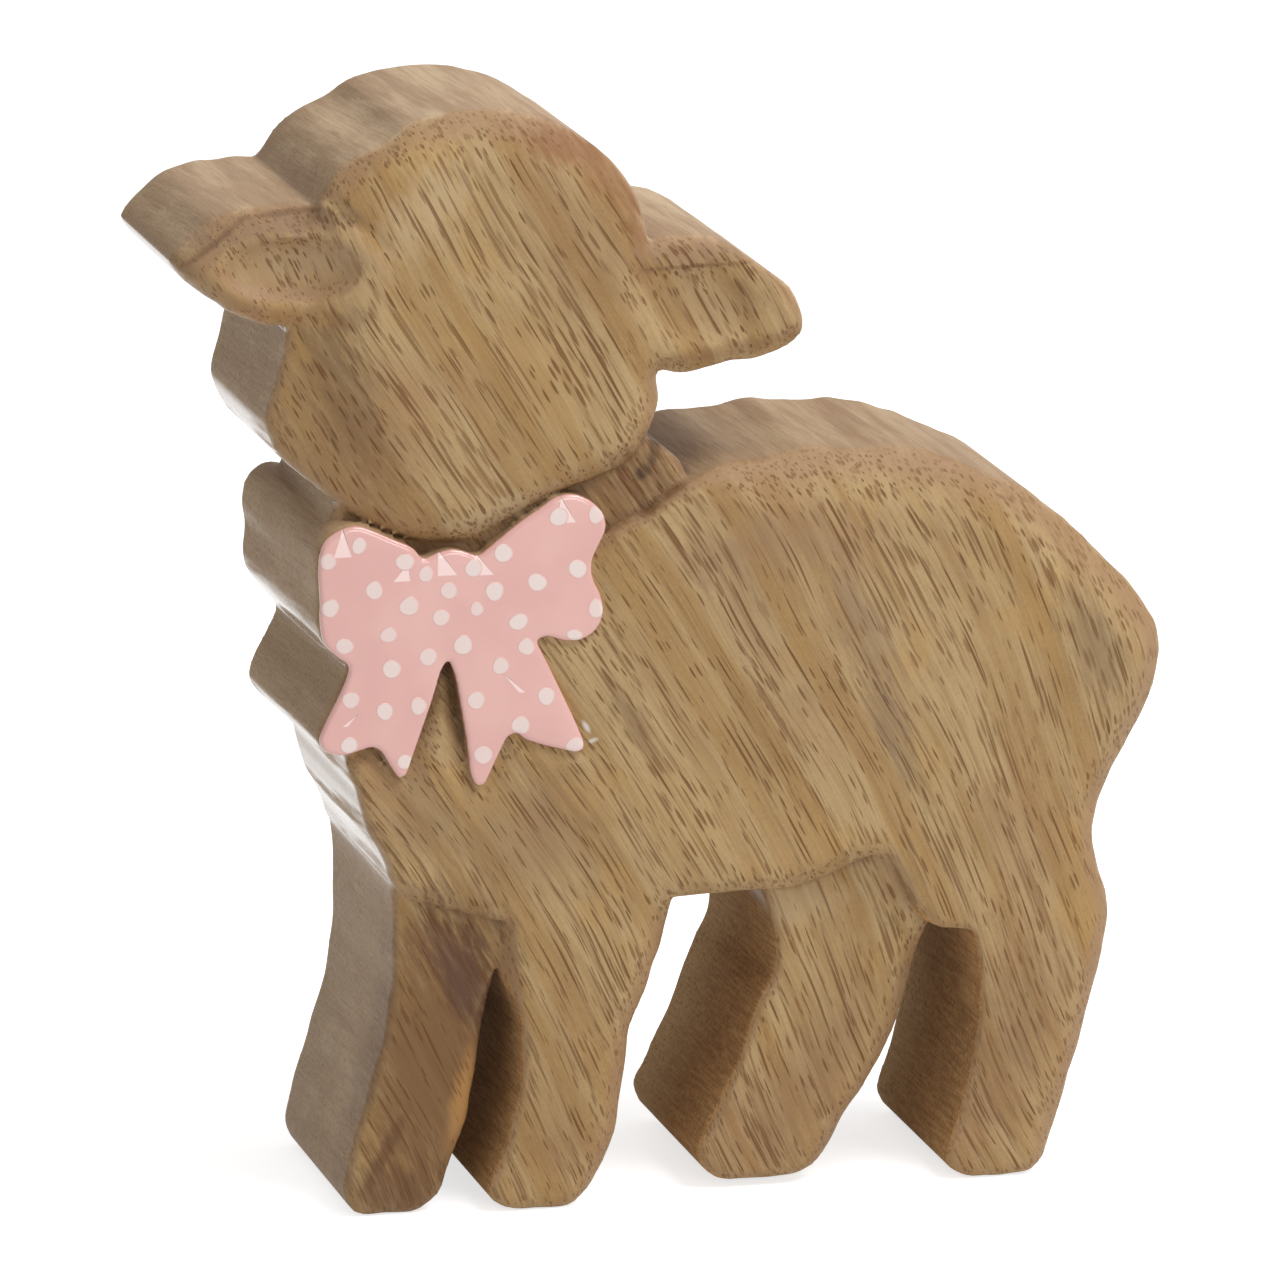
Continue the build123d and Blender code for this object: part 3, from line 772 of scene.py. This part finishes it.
# Colours of the lower sides, of the upper sides (partly painted light) and of the left-facing sides (partly
# painted shade)
LOW_SIDE, HIGH_SIDE_LIGHT, LEFT_SIDE_SHADE = (0.325, 0.198, 0.100), (0.570, 0.410, 0.262), (0.312, 0.194, 0.090)
# Painted shade for the sides between the legs, lighter towards the back face
LEG_SHADE, DEEP_LEG_SHADE, FAR_LEG_SHADE = (0.640, 0.365, 0.150), (0.440, 0.225, 0.082), (0.680, 0.470, 0.250)
CREASE_WAX_AND_SHADE = (0.125, 0.064, 0.028)
# Enamel's colours: the painted highlight on its flat spots, and where a dot is thin
PAINTED_GLINT_PINK, THIN_WHITE = (0.920, 0.700, 0.660), (0.760, 0.560, 0.520)


class WoodBench(Bench):
    """Hardwood with open pores. Its fibres run down to the tail, steeper towards the rump; bands
    of growth, fine fibres and pores are patterns stretched along them, so a face that cuts the
    fibres shows dots where a face along them shows dashes."""

    def __init__(self):
        super().__init__(bpy.data.materials.new("carved_wood"))
        self.wood = bpy.context.scene.lamb_wood
        self.pale, self.brown = tuple(self.wood.pale), tuple(self.wood.brown)
        place = self.place()
        self.px, self.py, self.pz = self.split(place)
        self.nx, self.ny, self.nz = self.split(self.node("ShaderNodeTexCoord", out=1))
        sway = self.node(
            "ShaderNodeVectorMath",
            {0: self.noise(self.scale(place, 1 / SWAY), detail=1.0, out=1), 1: (0.5, 0.5, 0.5)},
            operation="SUBTRACT")
        x, self.y, z = self.split(self.node(
            "ShaderNodeVectorMath", {0: sway, 1: (4.0, 2.0, 3.0), 2: place}, operation="MULTIPLY_ADD"))
        bend = self.maths("ARCTANGENT", (z - BEND_Z) / BEND_REACH) * BEND_REACH
        self.across = (x + z * 0.475 + bend * (0.165 - x * 0.006)) / 1.15
        self.along = x * FIBRE_RUN - z * FIBRE_FALL

        self.bands = self.grain(3.4, 60, 130, 0.55)
        self.lines = self.grain(0.85, 20, 38, 0.6, 7.0)
        self.fibres = self.grain(0.24, 1.6, 10.0, 0.6, 3.0)
        self.flecks = self.grain(0.55, 6, 6.5, 0.6, 19.0)
        self.cloud = self.noise(self.scale(place, 1 / CLOUD), detail=3.0)
        self.tone = self.noise(self.scale(place, 1 / TONE))
        self.grit = self.noise(place, 2.4, 3.0, 0.7)
        # What the saw left on the sides: streaks from face to face, and fine hair in them
        px, py, pz = self.px, self.py, self.pz
        spot = self.vector((px + py * 0.04) / STREAK, py / 36, (pz + py * 0.04) / STREAK)
        self.streak = self.noise(spot, detail=3.0, rough=0.62)
        self.hair = self.noise(self.vector((px + py * 0.05) / HAIR, py / 8, pz / HAIR), rough=0.6)

        # Where the surface is sawn, faces left, rolls over to an edge, or lies between the legs
        self.side = self.ny.unsigned().step(0.80, 0.35)
        self.left = self.nx.step(-0.30, -0.85)
        self.rolled = self.ny.unsigned().step(0.975, 0.80) * self.nz.step(-0.9, -0.1)
        self.between_legs = px.step(-33.0, -27.0) * pz.step(34.5, 32.0) * self.nx.step(-0.1, -0.5)

    def grain(self, wide, deep, long, rough, shift=0.0):
        """A pattern whose grains are so wide, deep and long in millimetres, along the fibres."""
        spot = self.vector(self.across / wide + shift, self.y / deep, self.along / long)
        return self.noise(spot, rough=rough)

    def faces(self):
        """The carved faces, which soak up more wax where they roll over and cut the fibres."""
        colour = self.mix(self.bands.step(0.36, 0.60), tuple(self.wood.honey), self.pale)
        return self.layers(
            colour,
            (self.cloud.step(0.45, 0.30) * 0.45, GOLDEN),
            (self.tone.step(0.50, 0.72) * 0.55, TAWNY),
            (self.cloud.step(0.50, 0.74) * 0.28, self.brown),
            (self.lines.step(0.50, 0.68) * 0.36, self.brown),
            (self.flecks.step(0.56, 0.70) * 0.30, self.pale),
            (self.fibres.step(0.42, 0.70) * 0.34, self.brown),
            (self.rolled * (0.45 + self.cloud * 0.5), WAXED))

    def sides(self):
        """The sawn sides, which cut the fibres nearly square: plainer, and streaked by the saw."""
        # Painted shade between the legs, lighter towards the back face, where more light reaches
        shade_between_legs = self.mix(self.hair.step(0.35, 0.65), LEG_SHADE, DEEP_LEG_SHADE)
        shade_between_legs = self.mix(self.py.step(-6.0, 15.0) * 0.60, shade_between_legs, FAR_LEG_SHADE)
        colour = self.mix(self.streak.step(0.38, 0.62), tuple(self.wood.grey), SAW_BURN)
        return self.layers(
            colour,
            (self.pz.step(100.0, 90.0) * 0.42, LOW_SIDE),
            # Painted light: upper sides that don't face left are lightened, partly towards grey end grain
            (self.pz.step(96.0, 106.0) * (1 - self.left) * 0.34, HIGH_SIDE_LIGHT),
            # Painted shade: sides that face left are darkened and greyed, partly the sawn wood's own colour
            (self.left * (self.cloud.step(0.38, 0.60) * 0.42 + 0.44), LEFT_SIDE_SHADE),
            (self.cloud.step(0.44, 0.66) * 0.30, SIDE_CLOUD),
            (self.hair.step(0.46, 0.72) * 0.34, self.brown),
            (self.between_legs * 0.90, shade_between_legs))

    def patched(self, colour):
        """The listed patches, their edges broken up along the grain."""
        spot = self.vector(self.across / 0.8, self.y / 6, self.along / 4.5)
        broken = self.noise(spot, detail=4.0, rough=0.68)
        front = self.py.step(-4.0, -12.0)
        streaky = self.lines.step(0.30, 0.66) * 0.45 + 0.55
        for cx, cz, long, high, turn, strength, ragged, coat in PATCHES:
            turn = math.radians(turn)
            dx, dz = self.px - cx, self.pz - cz
            u = (dx * math.cos(turn) + dz * math.sin(turn)) / long
            v = (dz * math.cos(turn) - dx * math.sin(turn)) / high
            reach = self.maths("SQRT", u * u + v * v) + (broken - 0.5) * ragged
            share = strength * (streaky if ragged > 2 else 1.0)
            colour = self.mix(reach.step(1.30, 0.30) * front * share, colour, coat)
        return colour

    def pores(self, cell, long, seed):
        """Open pores: cells stretched along the grain, each with a spot of its own width."""
        spot = self.vector(self.across / cell + seed, self.y / cell, self.along / long)
        near, owner = self.node(
            "ShaderNodeTexVoronoi", {"Vector": spot, "Scale": 1.0, "Randomness": 1.0},
            out=(0, 1), feature="F1")
        luck, other = self.node("ShaderNodeSeparateColor", {0: owner}, out=(0, 1))
        half_width = self.wood.pore_width / MM / 2 / cell
        limit = (luck * 0.7 + 0.45) * half_width * (self.bands * 1.6 + 0.30)
        return (near / limit).step(1.20, 0.60) * (other * 0.6 + 0.4)


def wood_material():
    """The lamb's wood: faces and sides, then grit, patches, pores, wax with painted shade in the
    creases and wear with a painted highlight on the edges.
    """
    b = WoodBench()
    side, left, grit = b.side, b.left, b.grit
    colour = b.mix(side * 0.92, b.faces(), b.sides())
    colour = b.mix(grit.step(0.50, 0.76) * (left * side * 0.30 + 0.30), colour, b.brown)
    colour = b.mix(grit.step(0.50, 0.26) * (left * side * 0.30 + 0.22), colour, b.pale)
    colour = b.patched(colour)

    open_pores = b.pores(0.44, 14.5, 0.0).most(b.pores(0.58, 4.5, 31.7) * 0.9)
    on_sides = 1 - side * (0.88 - left * (0.45 + b.between_legs * 0.35))
    open_pores = open_pores * (1 - b.rolled * 0.35) * on_sides
    colour = b.mix(open_pores * 0.86, colour, tuple(b.wood.pore))

    # Creases are darkened, partly wax and partly painted shade; edges are lightened, partly wear and partly a
    # painted highlight
    crowd = b.value_of("crowding")
    worn_and_lit = crowd.step(0.44, 0.28) * (b.fibres * 0.8 + 0.3)
    colour = b.layers(colour, (crowd.step(0.55, 0.74) * 0.72, CREASE_WAX_AND_SHADE), (worn_and_lit * 0.30, b.pale))

    rough = b.wood.sheen + (b.fibres - 0.5) * 0.14 + open_pores * 0.25 + b.between_legs * side * 0.35
    height = (b.fibres - 0.5) * 0.024 - open_pores * 0.09 + (b.lines - 0.5) * 0.04
    height = height + (b.hair - 0.5) * side * 0.05 + (b.streak - 0.5) * side * 0.30
    # The waxed left side is polished where it faces down
    polish = left * b.nz.step(-0.04, -0.32) * b.streak.step(0.30, 0.52) * b.pz.step(36.0, 42.0)
    return b.finish(b.node(
        "ShaderNodeBsdfPrincipled",
        {"Base Color": colour, "Roughness": rough, "Normal": b.bump(height), "IOR": 1.45,
         "Specular IOR Level": 0.26, "Coat Weight": polish, "Coat Roughness": 0.16}))


def enamel_material():
    """Poured enamel: even pink with faint clouding, a hard gloss and the flat spots of GLINTS,
    whose colour is lightened to pale pink as a painted highlight.
    """
    b = Bench(bpy.data.materials.new("pink_enamel"))
    place = b.place()
    pink = np.array(bpy.context.scene.lamb_enamel.pink)
    cloud = b.noise(place, 0.12).step(0.30, 0.70)
    colour = b.mix(cloud, tuple(pink * (0.97, 0.93, 0.93)), tuple(np.minimum(pink * 1.04, 1)))
    px, _, pz = b.split(place)
    height = b.noise(place, 0.45, 1.0) * 0.02
    lit = 0.0
    for cx, cz, wide, high, lean in GLINTS:
        up = pz - cz
        room = (1 - up / high) * (wide / 2) - (px - cx - up * lean).unsigned()
        inside = room.step(0.0, 0.10) * up.step(0.0, 0.08)
        height = height - inside * up * 0.05
        # The flat spots are painted lighter pink: a painted highlight
        lit = inside + lit
    return b.finish(b.node(
        "ShaderNodeBsdfPrincipled",
        {"Base Color": b.mix(lit * 0.80, colour, PAINTED_GLINT_PINK), "Roughness": 0.14,
         "Normal": b.bump(height), "Coat Weight": 0.6, "Coat Roughness": 0.04, "IOR": 1.5}))


def dot_material():
    """White enamel that the pink shows through a little, most of all at the dot's rim."""
    enamel = bpy.context.scene.lamb_enamel
    b = Bench(bpy.data.materials.new("white_enamel"))
    white = b.mix(b.value_of("thin"), tuple(enamel.white), THIN_WHITE)
    colour = b.mix(b.value_of("rim").step(0.76, 1.0), white, tuple(enamel.pink))
    return b.finish(b.node(
        "ShaderNodeBsdfPrincipled",
        {"Base Color": colour, "Roughness": 0.16, "Coat Weight": 0.6, "Coat Roughness": 0.05,
         "IOR": 1.5}))


# Operators

# The enamel's grid in millimetres: its steps sideways, through its depth and below it. Each dot
# has this many rings, and points in a ring.
ENAMEL_STEP, QUICK_ENAMEL_STEP, ENAMEL_DEPTH_STEP, ENAMEL_FOOT_STEP = 0.26, 0.5, 0.14, 0.35
DOT_RINGS, DOT_TURNS = 9, 32
# How far a dot stands out of the enamel in millimetres, by the share of its radius
DOT_PROFILE = ((0.0, 0.88, 1.0, 1.03), (0.012, 0.010, -0.002, -0.04))
# The least way from a dot's edge to the bow's, in millimetres
DOT_MARGIN = 0.16


class LAMB_OT_carve_body(bpy.types.Operator):
    """Carve the lamb from one block and give it its wood"""

    bl_idname = "lamb.carve_body"
    bl_label = "Carve Body"

    def execute(self, context):
        carve = context.scene.lamb_carving
        step = carve.grid_step / MM * 1.0
        half = carve.block_thickness / MM / 2
        low, high = CAD_BOX[0] / MM, CAD_BOX[1] / MM
        xs = steps_between((low.x - 2, 0), (high.x + 2, step))
        zs = steps_between((-1.5, 0), (high.z + 2, step))
        # Fine steps near the two faces, coarse ones between them
        fine, coarse = step * 0.8, step * 2.6
        ys = steps_between((-half - 1.2, 0), (-half + 7, fine), (half - 7, coarse), (half + 1.2, fine))
        field = wood_field(xs, ys, zs)
        points, faces = skin(field, xs, ys, zs)
        points = np.clip(points, low, high)
        body = make_piece("carved_body", points, faces, wood_material())
        add_value(body, "crowding", crowding(field, step, (xs, ys, zs), points))
        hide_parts("wood_body")
        return {"FINISHED"}


class LAMB_OT_pour_enamel(bpy.types.Operator):
    """Pour the pink enamel on the bow"""

    bl_idname = "lamb.pour_enamel"
    bl_label = "Pour Enamel"

    def execute(self, context):
        depth = context.scene.lamb_enamel.thickness / MM
        half = context.scene.lamb_carving.block_thickness / MM / 2
        low, high = [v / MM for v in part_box("bow_enamel")]
        step = ENAMEL_STEP
        xs = steps_between((low.x - 1.5, 0), (high.x + 1.5, step))
        zs = steps_between((low.z - 1.5, 0), (high.z + 1.5, step))
        ys = steps_between(
            (-half - 0.6, 0), (-half + 0.7, ENAMEL_DEPTH_STEP), (-half + 1.8, ENAMEL_FOOT_STEP))
        x, z = np.meshgrid(xs, zs, indexing="ij")
        level, gap = bow_level(x, z)
        y = ys[None, :, None]
        # The coat's side leans in a little with its depth, and its foot sits in the wood
        side = (gap + 0.02)[:, None, :] + 0.10 * (y + half)
        field = both(side, (-half + level)[:, None, :] - y, 0.12)
        field = np.maximum(field, y - (-half + depth + 0.25))
        points, faces = skin(field, xs, ys, zs)
        points[:, 1] = np.maximum(points[:, 1], -half)
        enamel = make_piece("enamel_coat", points, faces, enamel_material())
        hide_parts("bow_enamel")
        return {"FINISHED"}


class LAMB_OT_set_dots(bpy.types.Operator):
    """Set the white dots in the enamel"""

    bl_idname = "lamb.set_dots"
    bl_label = "Set Dots"

    def execute(self, context):
        radius = context.scene.lamb_enamel.dot_diameter / MM / 2
        half = context.scene.lamb_carving.block_thickness / MM / 2
        rng = np.random.default_rng(8)
        table = np.array(DOTS)
        count = len(table)
        middle = placed(table[:, :2])
        ring = np.concatenate([np.linspace(0.0, 1.0, DOT_RINGS)[1:], DOT_PROFILE[0][-1:]])
        x, z = self.grids(table, middle, ring, radius, rng)
        level, _ = bow_level(x, z)
        proud = np.interp(ring, *DOT_PROFILE)[None, :, None]
        y = np.maximum(-half + level - proud, -half)
        middle_level, _ = bow_level(*middle.T)
        middle_y = np.maximum(-half + middle_level - DOT_PROFILE[1][0], -half)
        points = np.concatenate([
            np.stack([middle[:, 0], middle_y, middle[:, 1]], 1),
            np.stack([x, y, z], -1).reshape(-1, 3)])
        dots = make_piece("enamel_dots", points, self.faces(count, len(ring)), dot_material())
        rim = np.broadcast_to(ring[None, :, None], x.shape).ravel()
        thin = rng.uniform(0.0, 0.75, count)
        add_value(dots, "rim", np.concatenate([np.zeros(count), rim]))
        add_value(dots, "thin", np.concatenate([thin, np.repeat(thin, len(rim) // count)]))
        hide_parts("bow_dots")
        return {"FINISHED"}

    def grids(self, table, middle, ring, radius, rng):
        """Places of each dot's polar grid. Two slow waves bend its radius, and places near the
        bow's edge are drawn back from it."""
        angle = np.linspace(0, 2 * math.pi, DOT_TURNS, endpoint=False)
        each = (len(table), 1)
        bend = 1
        for n in (2, 3):
            height = rng.uniform(0.015, 0.05, each)
            bend = bend + height * np.sin(n * angle + rng.uniform(0, 6.3, each))
        reach = radius * table[:, 3:4] * bend
        wide = np.sqrt(table[:, 2:3])
        turn = rng.uniform(-0.5, 0.5, each)
        u, v = reach * wide * np.cos(angle), reach / wide * np.sin(angle)
        dx = u * np.cos(turn) - v * np.sin(turn)
        dz = u * np.sin(turn) + v * np.cos(turn)
        x = middle[:, 0, None, None] + ring[None, :, None] * dx[:, None, :]
        z = middle[:, 1, None, None] + ring[None, :, None] * dz[:, None, :]
        outline = soft_outline(BOW)
        small = 0.02
        for _ in range(2):
            gap = outside(outline, x, z)
            gx = (outside(outline, x + small, z) - gap) / small
            gz = (outside(outline, x, z + small) - gap) / small
            push = np.clip(gap + DOT_MARGIN, 0, None)
            x, z = x - push * gx, z - push * gz
        return x, z

    def faces(self, count, rings):
        """A fan of triangles round each middle and two triangles in each cell between two rings.
        The middles are the first points, and the rings of each dot follow."""
        base = count + np.arange(count)[:, None] * rings * DOT_TURNS
        here = np.arange(DOT_TURNS)
        after = (here + 1) % DOT_TURNS
        middle = np.broadcast_to(np.arange(count)[:, None], (count, DOT_TURNS))
        fan = np.stack([middle, base + here, base + after], -1)
        row = base[:, :, None] + np.arange(rings - 1)[None, :, None] * DOT_TURNS
        a, b = row + here, row + after
        first = np.stack([a, a + DOT_TURNS, b], -1)
        second = np.stack([b, a + DOT_TURNS, b + DOT_TURNS], -1)
        return np.concatenate([part.reshape(-1, 3) for part in (fan, first, second)])


# The photo's camera, fitted to the block: turn and tilt in degrees, the place that it looks at in
# millimetres, its distance in metres, and its lens and sensor in millimetres
CAMERA_YAW, CAMERA_PITCH = 14.39, 13.29
CAMERA_TARGET = (-0.177, 0, 63.25)
CAMERA_DISTANCE = 1.28597
LENS, SENSOR = 309.4, 36.0
# Each lamp's place and target, and its panel's two sides, in metres
KEY_LAMP = (0.35, -0.25, 0.75), (0.0, 0.0, 0.06), (0.5, 0.4)
FILL_LAMP = (0.25, -0.95, 0.25), (0.0, 0.0, 0.06), (0.34, 0.34)
TABLE_COLOUR, TABLE_GLOW = (0.80, 0.80, 0.80, 1), 0.70


class LAMB_OT_lay_table(bpy.types.Operator):
    """Lay the white table, light it and place the camera"""

    bl_idname = "lamb.lay_table"
    bl_label = "Table, Light and Camera"

    def execute(self, context):
        stage = context.scene.lamb_stage
        self.table(stage)
        self.light(context, stage)
        self.camera(context)
        context.scene.view_settings.view_transform = "Standard"
        return {"FINISHED"}

    def table(self, stage):
        r = stage.table_size / 2
        mesh = bpy.data.meshes.new("table_top")
        mesh.from_pydata([(-r, -r, 0), (r, -r, 0), (r, r, 0), (-r, r, 0)], [], [(0, 1, 2, 3)])
        b = Bench(bpy.data.materials.new("white_table"))
        plain = b.node("ShaderNodeBsdfDiffuse", {"Color": TABLE_COLOUR})
        glow = b.node("ShaderNodeEmission", {"Color": (1, 1, 1, 1), "Strength": TABLE_GLOW})
        lit = b.node("ShaderNodeAddShader", {0: plain, 1: glow})
        mesh.materials.append(b.finish(b.node("ShaderNodeMixShader", {0: b.seen(), 1: plain, 2: lit})))
        top = bpy.data.objects.new("table_top", mesh)
        bpy.context.collection.objects.link(top)

    def light(self, context, stage):
        b = Bench(bpy.data.worlds.new("white_surround"))
        context.scene.world = b.holder
        strength = b.node(
            "ShaderNodeMapRange", {"Value": b.seen(), "To Min": stage.surround, "To Max": 1.0})
        back = b.node("ShaderNodeBackground", {"Strength": strength})
        b.node("ShaderNodeOutputWorld", {"Surface": back})
        self.lamp("key_lamp", *KEY_LAMP, stage.key_power)
        self.lamp("fill_lamp", *FILL_LAMP, stage.fill_power)

    def lamp(self, name, place, target, sides, power):
        data = bpy.data.lights.new(name, "AREA")
        data.shape = "RECTANGLE"
        data.size, data.size_y = sides
        data.energy = power
        lamp = bpy.data.objects.new(name, data)
        bpy.context.collection.objects.link(lamp)
        lamp.location = place
        lamp.rotation_euler = (Vector(target) - Vector(place)).to_track_quat("-Z", "Y").to_euler()

    def camera(self, context):
        data = bpy.data.cameras.new("camera")
        camera = bpy.data.objects.new("camera", data)
        context.collection.objects.link(camera)
        yaw, pitch = math.radians(CAMERA_YAW), math.radians(CAMERA_PITCH)
        forward = Vector((
            math.sin(yaw) * math.cos(pitch), math.cos(yaw) * math.cos(pitch), -math.sin(pitch)))
        camera.location = Vector(CAMERA_TARGET) * MM - forward * CAMERA_DISTANCE
        camera.rotation_euler = forward.to_track_quat("-Z", "Y").to_euler()
        data.sensor_width = SENSOR
        data.lens = LENS
        data.clip_start, data.clip_end = 0.05, 20
        context.scene.camera = camera


class LAMB_PT_sidebar(bpy.types.Panel):
    """Sizes, colours and the steps that make the lamb"""

    bl_idname = "LAMB_PT_sidebar"
    bl_label = "Carved Lamb"
    bl_space_type = "VIEW_3D"
    bl_region_type = "UI"
    bl_category = "Lamb"

    def draw(self, context):
        for group, operators in (
            ("lamb_carving", ("lamb.carve_body",)),
            ("lamb_wood", ()),
            ("lamb_enamel", ("lamb.pour_enamel", "lamb.set_dots")),
            ("lamb_stage", ("lamb.lay_table",)),
        ):
            box = self.layout.box()
            values = getattr(context.scene, group)
            for name in values.__annotations__:
                box.prop(values, name)
            for operator in operators:
                box.operator(operator)


GROUPS = {
    "lamb_carving": LambCarving, "lamb_wood": LambWood, "lamb_enamel": LambEnamel,
    "lamb_stage": LambStage,
}
CLASSES = (
    *GROUPS.values(), LAMB_OT_carve_body, LAMB_OT_pour_enamel, LAMB_OT_set_dots,
    LAMB_OT_lay_table, LAMB_PT_sidebar,
)


def register():
    for cls in CLASSES:
        bpy.utils.register_class(cls)
    for name, group in GROUPS.items():
        setattr(bpy.types.Scene, name, bpy.props.PointerProperty(type=group))


def unregister():
    for name in GROUPS:
        delattr(bpy.types.Scene, name)
    for cls in reversed(CLASSES):
        bpy.utils.unregister_class(cls)


def main():
    register()
    bpy.ops.lamb.carve_body()
    bpy.ops.lamb.pour_enamel()
    bpy.ops.lamb.set_dots()
    bpy.ops.lamb.lay_table()


if __name__ == "__main__":
    main()
